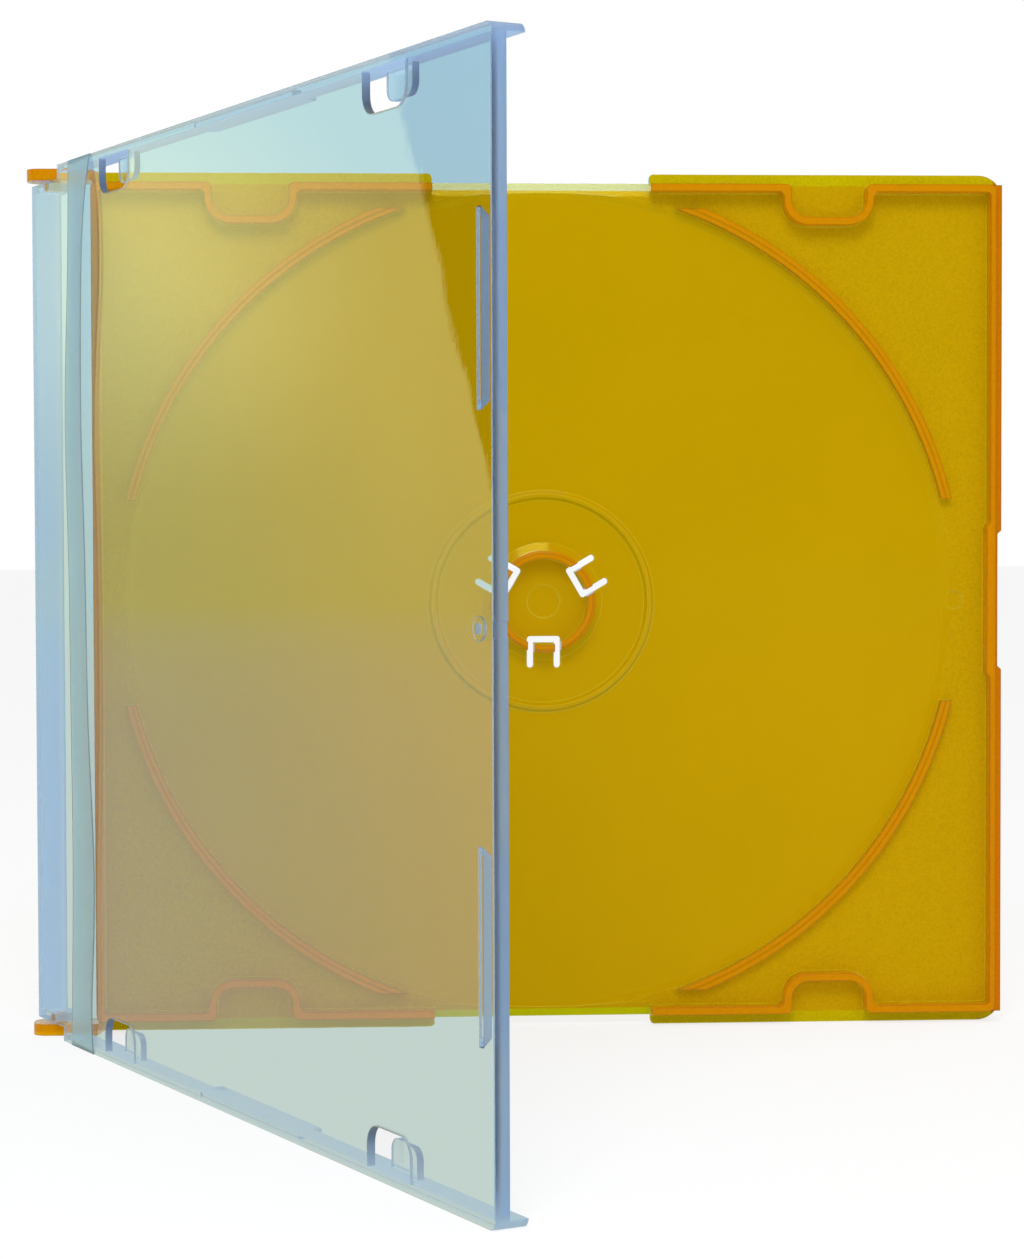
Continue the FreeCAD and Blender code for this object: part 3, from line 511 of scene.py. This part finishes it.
def lid_material(looks):
    """Clear plastic with a blue tint that shows where light goes a long way through it.

    Edge is 1 on faces that stand across the plate, by the face's own direction, and 0 on its two
    sides, and level is 1 on those that look up or down. Edges get a faint painted glow.
    """
    material, tree, output = new_material("clear_plastic")
    coordinates = tree.nodes.new("ShaderNodeTexCoord").outputs
    outwards = (-math.sin(OPEN_ANGLE), -math.cos(OPEN_ANGLE), 0.0)
    across = node(tree, "ShaderNodeVectorMath", {0: coordinates["Normal"], 1: outwards},
                  operation="DOT_PRODUCT").outputs["Value"]
    edge = inverse(tree, ramp(tree, unsigned(tree, across), *EDGE_FACING))
    rise = node(tree, "ShaderNodeSeparateXYZ", {0: coordinates["Normal"]}).outputs["Z"]
    level = ramp(tree, unsigned(tree, rise), *LEVEL_FACING)
    # Painted glow on the lid's edges, another on the level ones
    glow = blend_colours(tree, level, opaque(looks.lip_glow), opaque(looks.top_glow))
    surface = surface_of(tree, coordinates["Object"], edge=0.20 * MM, size=1.6 * MM, grain=0.01,
                         ripple=0.02)
    polish = maths(tree, "ADD", times(tree, surface["Cloud"], LID_HAZE), looks.roughness)
    face = blend_colours(tree, surface["Cloud"], opaque(Vector(looks.colour) * (1 - LID_CLOUD)),
                         opaque(looks.colour))
    shader = node(tree, "ShaderNodeBsdfPrincipled", {
        "Base Color": blend_colours(tree, edge, face, opaque(looks.edge_colour)),
        "Roughness": maths(tree, "ADD", polish, times(tree, edge, looks.edge_roughness)),
        "Normal": surface["Normal"], "Metallic": 0.0, "IOR": 1.52, "Transmission Weight": 1.0,
        "Emission Color": blend_colours(tree, edge, BLACK, glow), "Emission Strength": 1.0})
    tree.links.new(shader.outputs[0], output.inputs["Surface"])
    depth = node(tree, "ShaderNodeVolumeAbsorption", {
        "Color": opaque(looks.depth_colour), "Density": looks.depth_density})
    tree.links.new(depth.outputs[0], output.inputs["Volume"])
    return material


def strip_material(looks):
    """Milky clear film, a little wavy along its length."""
    material, tree, output = new_material("clear_film")
    place = tree.nodes.new("ShaderNodeTexCoord").outputs["Object"]
    drawn_out = node(tree, "ShaderNodeMapping", {"Vector": place, "Scale": (1.0, 1.0, 0.12)}).outputs[0]
    wave = node(tree, "ShaderNodeTexNoise", {
        "Vector": drawn_out, "Scale": 300.0, "Detail": 2.0}).outputs["Fac"]
    bump = node(tree, "ShaderNodeBump", {"Strength": 0.15, "Distance": 0.1 * MM, "Height": wave})
    colour = blend_colours(tree, wave, opaque(Vector(looks.colour) * (1 - FILM_CLOUD)), opaque(looks.colour))
    shader = node(tree, "ShaderNodeBsdfPrincipled", {
        "Base Color": colour, "Roughness": 0.22, "Normal": bump.outputs["Normal"],
        "Metallic": 0.0, "IOR": 1.45, "Transmission Weight": 0.80})
    tree.links.new(shader.outputs[0], output.inputs["Surface"])
    return material


def lid_point(along, across, depth):
    """Places on the open lid, from arrays of shut-case places.

    along runs from the hinge pin, depth from the middle of the thickness outwards, and both turn by
    the opening angle about the pin: x = px + a cos - d sin, y = py - a sin - d cos.
    """
    cosine, sine = math.cos(OPEN_ANGLE), math.sin(OPEN_ANGLE)
    x = PIN.x + along * cosine - depth * sine
    y = PIN.y - along * sine - depth * cosine
    return np.stack([x, y, PIN.z + across], axis=-1)


def grid_mesh(name, places):
    """A mesh from a grid of places, rows by columns by three."""
    rows, columns, _ = places.shape
    index = np.arange(rows * columns).reshape(rows, columns)
    faces = np.stack([index[:-1, :-1], index[:-1, 1:], index[1:, 1:], index[1:, :-1]], axis=-1)
    mesh = bpy.data.meshes.new(name)
    mesh.from_pydata(places.reshape(-1, 3), [], faces.reshape(-1, 4))
    mesh.shade_smooth()
    return mesh


def strip_mesh(looks, half_width):
    """The film: it follows the lid's outer face, and its far edge stands off between the ends.

    With s from 0 to 1 across the film, t from -1 to 1 up it and hump(a, b) = exp(-((t - a) / b)^2),
    along = start + slant t / 2 + width s + bow (0.6 hump(-0.6, 0.35) - hump(0.43, 0.28)), and the
    height over the lid is lift s^2 (1 - t^12) (1 + 0.5 hump(0.78, 0.25)) (1 - 0.9 hump(-0.65, 0.3)).
    """
    s = np.linspace(0, 1, FILM_COLUMNS)[None, :]
    t = np.linspace(-1, 1, FILM_ROWS)[:, None]
    spine_to_pin = PIN.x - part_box("base_tray")[0].x

    def hump(middle, reach):
        return np.exp(-((t - middle) / reach) ** 2)

    bow = looks.bow * (0.6 * hump(-0.6, 0.35) - hump(0.43, 0.28))
    along = looks.start + looks.slant * t / 2 + looks.width * s + bow - spine_to_pin
    ripple = (1 + 0.5 * hump(0.78, 0.25)) * (1 - 0.9 * hump(-0.65, 0.3))
    lift = looks.lift * s ** 2 * (1 - t ** 12) * ripple
    across = np.broadcast_to(half_width * t, along.shape)
    return grid_mesh("film_strip_sheet", lid_point(along, across, HALF_THICKNESS + FILM_SEAT + lift))


class DressTray(bpy.types.Operator):
    """Give the tray its tinted plastic"""
    bl_idname = "disc_case.dress_tray"
    bl_label = "Tray"

    def execute(self, context):
        tray = frame["nodes"]["base_tray"]
        tray.data.materials.clear()
        tray.data.materials.append(tray_material(context.scene.disc_case_tray))
        return {"FINISHED"}


class DressLid(bpy.types.Operator):
    """Give the lid its clear plastic"""
    bl_idname = "disc_case.dress_lid"
    bl_label = "Lid"

    def execute(self, context):
        lid = frame["nodes"]["lid"]
        lid.data.materials.clear()
        lid.data.materials.append(lid_material(context.scene.disc_case_lid))
        return {"FINISHED"}


class LayStrip(bpy.types.Operator):
    """Lay the film strip on the lid, in place of the plain solid"""
    bl_idname = "disc_case.lay_strip"
    bl_label = "Film strip"

    def execute(self, context):
        looks = context.scene.disc_case_strip
        half_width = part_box("film_strip")[1].z
        strip = bpy.data.objects.new("film_strip_sheet", strip_mesh(looks, half_width))
        context.scene.collection.objects.link(strip)
        strip.data.materials.append(strip_material(looks))
        solid = strip.modifiers.new("thickness", "SOLIDIFY")
        solid.thickness = looks.thickness
        solid.offset = 1.0
        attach(strip, "lid_body")
        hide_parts("film_strip")
        return {"FINISHED"}


def room_colour(tree, looks, height):
    """What clear plastic shows of the room: a pale gradient by a height from 0 to 1."""
    return blend_colours(tree, height, opaque(looks.lower_colour), opaque(looks.upper_colour))


def shown_by_ray(tree, light, room, white):
    """One shader for most rays, one for those mirrored or let through, and one for the camera's."""
    path = tree.nodes.new("ShaderNodeLightPath").outputs
    plastic = maths(tree, "MAXIMUM", path["Is Glossy Ray"], path["Is Transmission Ray"])
    inner = node(tree, "ShaderNodeMixShader", {0: plastic, 1: light.outputs[0], 2: room.outputs[0]})
    outer = node(tree, "ShaderNodeMixShader",
                 {0: path["Is Camera Ray"], 1: inner.outputs[0], 2: white.outputs[0]})
    return outer.outputs[0]


def bearing_of(tree, parts):
    """Bearing of a direction, from +Y towards +X."""
    return maths(tree, "ARCTAN2", parts["X"], parts["Y"])


def doorway(tree, parts):
    """1 in the bright room and 0 in a dark doorway that the lid reflects near its free edge.

    The doorway lies between two bearings, and its near side leans with the height:
    bearing = near + lean * height.
    """
    bearing = bearing_of(tree, parts)
    leaning = maths(tree, "SUBTRACT", bearing, times(tree, parts["Z"], DOORWAY_LEAN))
    near = step(tree, leaning, DOORWAY_NEAR, DOORWAY_BLUR)
    far = inverse(tree, step(tree, bearing, DOORWAY_FAR, DOORWAY_BLUR))
    return maths(tree, "MAXIMUM", near, far)


def bright_window(tree, parts):
    """1 in the middle of a bright window that the lid reflects, fading to 0 at its reach."""
    aside = maths(tree, "SUBTRACT", bearing_of(tree, parts), WINDOW_BEARING)
    above = maths(tree, "SUBTRACT", parts["Z"], WINDOW_HEIGHT)
    return inverse(tree, step(tree, distance(tree, aside, above), 0.0, WINDOW_REACH))


def left_side(tree, parts):
    """1 towards the stretch of the left wall that the lid's faces reflect, and 0 elsewhere."""
    bearing = bearing_of(tree, parts)
    return times(tree, step(tree, bearing, LEFT_FAR - LEFT_BLUR, LEFT_BLUR),
                 inverse(tree, step(tree, bearing, LEFT_NEAR, LEFT_BLUR)))


def make_world(looks):
    """Even light; white to the camera, and a pale room in clear plastic.

    The room is a gradient with the left wall, the window and the doorway in it. Mirrored rays that
    go behind the camera show its dim front.
    """
    world = bpy.data.worlds.new("pale_room")
    world.use_nodes = True
    tree = world.node_tree
    tree.nodes.clear()
    direction = tree.nodes.new("ShaderNodeTexCoord").outputs["Generated"]
    parts = node(tree, "ShaderNodeSeparateXYZ", {0: direction}).outputs
    path = tree.nodes.new("ShaderNodeLightPath").outputs
    mirrored = times(tree, path["Is Glossy Ray"], inverse(tree, path["Is Transmission Ray"]))
    behind = times(tree, step(tree, times(tree, parts["Y"], -1.0), 0.0, FRONT_BLUR), mirrored)
    gradient = room_colour(tree, looks, ramp(tree, parts["Z"], *ROOM_HEIGHTS))
    walls = blend_colours(tree, left_side(tree, parts), gradient, opaque(looks.left_colour))
    seen = blend_colours(tree, bright_window(tree, parts), walls, opaque(looks.window_colour))
    sky = blend_colours(tree, behind, seen, opaque(looks.front_colour))
    room = node(tree, "ShaderNodeBackground", {"Color": sky, "Strength": doorway(tree, parts)})
    light = node(tree, "ShaderNodeBackground", {"Color": WHITE, "Strength": looks.light})
    white = node(tree, "ShaderNodeBackground", {"Color": WHITE})
    output = tree.nodes.new("ShaderNodeOutputWorld")
    tree.links.new(shown_by_ray(tree, light, room, white), output.inputs["Surface"])
    return world


def floor_material(looks):
    """Pale floor: white with a soft shadow to the camera, and the room's colours in clear plastic."""
    material, tree, output = new_material("pale_floor")
    place = tree.nodes.new("ShaderNodeTexCoord").outputs["Object"]
    away = node(tree, "ShaderNodeVectorMath", {0: place}, operation="LENGTH").outputs["Value"]
    far = ramp(tree, away, *FLOOR_REACH)
    parts = node(tree, "ShaderNodeSeparateXYZ", {0: place}).outputs
    left = times(tree, left_side(tree, parts), far)
    gradient = room_colour(tree, looks, times(tree, far, HORIZON_SHARE))
    room = node(tree, "ShaderNodeEmission", {
        "Color": blend_colours(tree, left, gradient, opaque(looks.left_colour))})
    matte = node(tree, "ShaderNodeBsdfDiffuse", {"Color": opaque([MATTE_GREY] * 3)})
    shaded = node(tree, "ShaderNodeBsdfDiffuse", {"Color": opaque([SHADED_GREY] * 3)})
    glow = node(tree, "ShaderNodeEmission", {"Color": WHITE, "Strength": ADDED_WHITE})
    white = node(tree, "ShaderNodeAddShader", {0: shaded.outputs[0], 1: glow.outputs[0]})
    tree.links.new(shown_by_ray(tree, matte, room, white), output.inputs["Surface"])
    return material


def soft_lamp(name, place, size, power):
    """A square lamp that faces the hub, which is the origin."""
    lamp = bpy.data.lights.new(name, "AREA")
    lamp.energy = power
    lamp.size = size
    made = bpy.data.objects.new(name, lamp)
    made.location = place
    made.rotation_euler = (-Vector(place)).to_track_quat("-Z", "Y").to_euler()
    bpy.context.scene.collection.objects.link(made)


class SetStudio(bpy.types.Operator):
    """Set the floor, the lamp and the pale room"""
    bl_idname = "disc_case.set_studio"
    bl_label = "Studio"

    def execute(self, context):
        looks = context.scene.disc_case_studio
        context.scene.world = make_world(looks)
        context.scene.view_settings.view_transform = "Standard"
        x, y = np.meshgrid([-looks.floor_size, looks.floor_size], [-looks.floor_size, looks.floor_size])
        corners = np.stack([x, y, np.full_like(x, FLOOR_HEIGHT)], axis=-1)
        floor = bpy.data.objects.new("floor", grid_mesh("floor", corners))
        context.scene.collection.objects.link(floor)
        floor.data.materials.append(floor_material(looks))
        soft_lamp("softbox", LAMP_PLACE, LAMP_SIZE, looks.lamp_power)
        return {"FINISHED"}


class SetCamera(bpy.types.Operator):
    """Put the camera where the photograph was taken from"""
    bl_idname = "disc_case.set_camera"
    bl_label = "Camera"

    def execute(self, context):
        camera = bpy.data.cameras.new("camera")
        camera.sensor_fit = "HORIZONTAL"
        camera.sensor_width = SENSOR_WIDTH
        camera.lens = FOCAL_PIXELS / PHOTO_WIDTH * SENSOR_WIDTH
        camera.clip_start = 10 * MM
        forward = Vector((math.sin(CAMERA_YAW) * math.cos(CAMERA_PITCH),
                          math.cos(CAMERA_YAW) * math.cos(CAMERA_PITCH), -math.sin(CAMERA_PITCH)))
        level = Vector((math.cos(CAMERA_YAW), -math.sin(CAMERA_YAW), 0))
        above = level.cross(forward)
        right = level * math.cos(CAMERA_ROLL) + above * math.sin(CAMERA_ROLL)
        up = above * math.cos(CAMERA_ROLL) - level * math.sin(CAMERA_ROLL)
        turn = Matrix((right, up, -forward)).transposed().to_4x4()
        made = bpy.data.objects.new("camera", camera)
        made.matrix_world = Matrix.Translation(CAMERA_PLACE) @ turn
        context.scene.collection.objects.link(made)
        context.scene.camera = made
        return {"FINISHED"}


class DiscCasePanel(bpy.types.Panel):
    """The steps, in the order they run"""
    bl_idname = "DISC_CASE_PT_steps"
    bl_label = "Disc case"
    bl_space_type = "VIEW_3D"
    bl_region_type = "UI"
    bl_category = "Disc case"

    def draw(self, context):
        for step in STEPS:
            self.layout.operator(step.bl_idname)


STEPS = (SetCamera, SetStudio, DressTray, DressLid, LayStrip)
LOOKS = {"disc_case_tray": TrayLooks, "disc_case_lid": LidLooks, "disc_case_strip": StripLooks,
         "disc_case_studio": StudioLooks}


def register():
    """Add the looks, the steps and the panel."""
    for cls in (*LOOKS.values(), *STEPS, DiscCasePanel):
        bpy.utils.register_class(cls)
    for name, cls in LOOKS.items():
        setattr(bpy.types.Scene, name, bpy.props.PointerProperty(type=cls))


def unregister():
    """Take them away again."""
    for name in LOOKS:
        delattr(bpy.types.Scene, name)
    for cls in reversed((*LOOKS.values(), *STEPS, DiscCasePanel)):
        bpy.utils.unregister_class(cls)


def main():
    """Run every step."""
    register()
    bpy.ops.disc_case.set_camera()
    bpy.ops.disc_case.set_studio()
    bpy.ops.disc_case.dress_tray()
    bpy.ops.disc_case.dress_lid()
    bpy.ops.disc_case.lay_strip()


if __name__ == "__main__":
    main()
